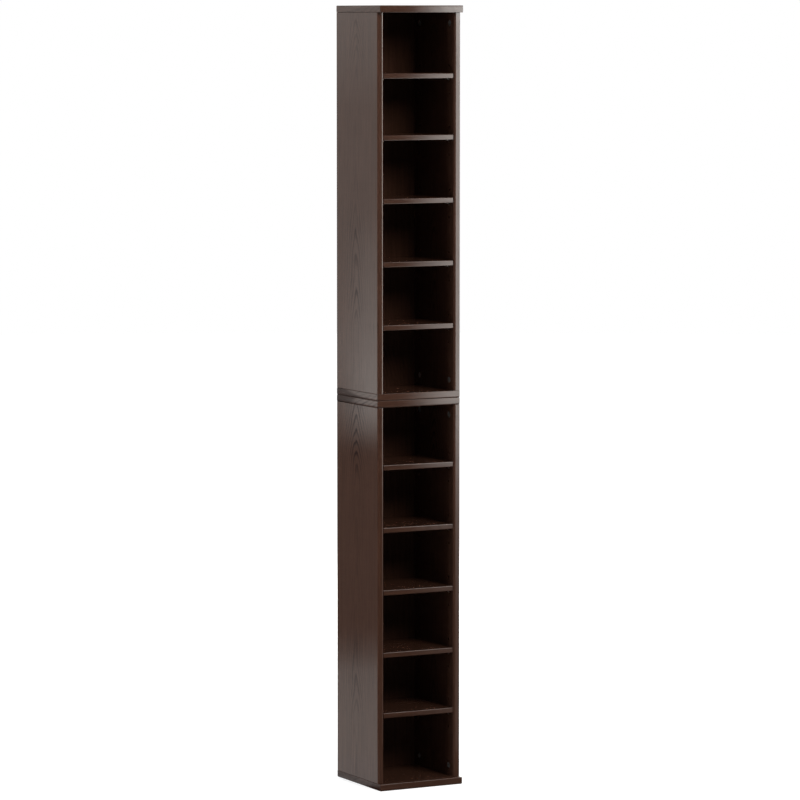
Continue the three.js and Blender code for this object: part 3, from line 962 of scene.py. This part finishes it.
def make_cards():
    """Two upright glowing cards that only the gloss mirrors, one by each face in view.

    A card stands across the line of sight as its face mirrors it. At u across and z up it glows
    by level(z) * edge(u), plus glint(z) * rear(u) on the side card. The levels run straight
    between their (z, level) stops, and edge and rear are smooth steps t * t * (3 - 2 * t).
    """
    def step(u, start, end):
        t = np.clip((u - start) / (end - start), 0, 1)
        return t * t * (3 - 2 * t)

    front_level = (
        (0.0, 0.4), (0.3, 0.4), (0.39, 0.6), (0.55, 1.1), (0.69, 2.4), (0.855, 5.4), (1.03, 4.7),
        (1.34, 5.4), (1.64, 6.2), (1.74, 7.2), (1.82, 10.5), (1.84, 0.0),
    )
    side_level = (
        (0.0, 0.62), (0.11, 0.62), (0.21, 0.54), (0.255, 0.25), (0.31, 0.065), (0.745, 0.065),
        (0.81, 0.24), (0.85, 0.4), (0.93, 0.57), (0.99, 0.6), (1.08, 0.51), (1.2, 0.43),
        (1.557, 0.43), (1.675, 0.6), (1.77, 0.7), (2.1, 0.74),
    )
    side_glint = (
        (0.74, 0.0), (0.765, 0.12), (0.81, 0.6), (0.85, 0.8), (0.93, 0.55), (0.99, 0.36),
        (1.2, 0.22), (1.32, 0.0),
    )
    across = (SIGHT_Y, SIGHT_X, 0.0)
    parts, glows = [], []
    # Each card: its foot on the floor, its span of u, its facing, levels and edges
    for foot, span, facing, level, edges in (
        ((0.488, -0.387), (-0.342, 0.265), -1, front_level, (-0.338, -0.188, 0.215, 0.265)),
        ((-0.262, 0.29), (-0.13, 0.13), 1, side_level, (-0.13, -0.1, 0.09, 0.13)),
    ):
        u, z = np.meshgrid(np.linspace(*span, 31), np.linspace(level[0][0], level[-1][0], 91))
        points = np.append(foot, 0.0) + u[..., None] * across + z[..., None] * (0, 0, 1)
        glow = np.interp(z, *np.transpose(level))
        if level is side_level:
            glow += np.interp(z, *np.transpose(side_glint)) * (1 - step(u, -0.022, 0.06))
        glow *= step(u, *edges[:2]) * (1 - step(u, *edges[2:]))
        number = np.arange(glow.size).reshape(glow.shape)
        corners = [number[:-1, :-1], number[:-1, 1:], number[1:, 1:], number[1:, :-1]][::facing]
        parts.append((points.reshape(-1, 3), np.stack(corners, -1).reshape(-1, 4).tolist()))
        glows.append(glow.ravel())
    points, faces = join(parts)
    mesh = bpy.data.meshes.new("gloss_cards")
    mesh.from_pydata(points.tolist(), [], faces)
    glow = np.concatenate(glows)
    shades = np.stack([glow, glow, 0.97 * glow, np.ones_like(glow)], -1)
    write(mesh, "glow", "FLOAT_COLOR", "POINT", "color", shades)
    nodes = new_finish("card_glow")
    bright = nodes.add("ShaderNodeEmission", {"Color": nodes.attribute("glow", "Color")})
    away = nodes.add("ShaderNodeNewGeometry").outputs["Backfacing"]
    clear = nodes.add("ShaderNodeBsdfTransparent")
    material = nodes.close(nodes.add("ShaderNodeMixShader", {0: away, 1: bright, 2: clear}))
    material.cycles.emission_sampling = "NONE"
    mesh.materials.append(material)
    cards = new_object("gloss_cards", mesh)
    for kind in ("camera", "diffuse", "transmission", "shadow"):
        setattr(cards, f"visible_{kind}", False)


class TOWER_OT_stage(bpy.types.Operator):
    """Make the camera, the pale floor and the soft studio light"""
    bl_idname = "tower.stage"
    bl_label = "Stage"

    def execute(self, context):
        scene = context.scene
        settings = scene.tower_stage
        scene.view_settings.view_transform = "Standard"
        camera = bpy.data.cameras.new("camera")
        camera.sensor_width = 36.0
        camera.lens = settings.camera_lens
        camera.clip_end = 100.0
        holder = new_object("camera", camera)
        holder.location = settings.camera_place
        holder.rotation_euler = (math.pi / 2 + settings.camera_pitch, 0.0, -settings.camera_heading)
        scene.camera = holder
        make_floor(settings.floor_radius)
        make_world(scene)
        make_lamps()
        make_cards()
        return {"FINISHED"}


class TOWER_PT_sidebar(bpy.types.Panel):
    """The operators and all settings"""
    bl_label = "Disc storage tower"
    bl_idname = "TOWER_PT_sidebar"
    bl_space_type = "VIEW_3D"
    bl_region_type = "UI"
    bl_category = "Tower"

    def draw(self, context):
        for operator in OPERATORS:
            self.layout.operator(operator.bl_idname)
        for holder, kind in SETTINGS.items():
            panel = self.layout.box()
            for key in kind.__annotations__:
                panel.prop(getattr(context.scene, holder), key)


SETTINGS = {
    "tower_boards": TowerBoardSettings,
    "tower_fittings": TowerFittingSettings,
    "tower_finish": TowerFinishSettings,
    "tower_stage": TowerStageSettings,
}
OPERATORS = (
    TOWER_OT_side_panels, TOWER_OT_end_boards, TOWER_OT_shelves, TOWER_OT_back_panels,
    TOWER_OT_shelf_supports, TOWER_OT_cam_locks, TOWER_OT_case_dowels, TOWER_OT_stage,
)
CLASSES = (*SETTINGS.values(), *OPERATORS, TOWER_PT_sidebar)


def register():
    """Makes the classes known and hangs the settings on the scene."""
    for kind in CLASSES:
        bpy.utils.register_class(kind)
    for holder, kind in SETTINGS.items():
        setattr(bpy.types.Scene, holder, bpy.props.PointerProperty(type=kind))


def unregister():
    """Takes back what register did."""
    for holder in SETTINGS:
        delattr(bpy.types.Scene, holder)
    for kind in reversed(CLASSES):
        bpy.utils.unregister_class(kind)


def main():
    """Makes every piece."""
    register()
    bpy.ops.tower.side_panels()
    bpy.ops.tower.end_boards()
    bpy.ops.tower.shelves()
    bpy.ops.tower.back_panels()
    bpy.ops.tower.shelf_supports()
    bpy.ops.tower.cam_locks()
    bpy.ops.tower.case_dowels()
    bpy.ops.tower.stage()


if __name__ == "__main__":
    main()
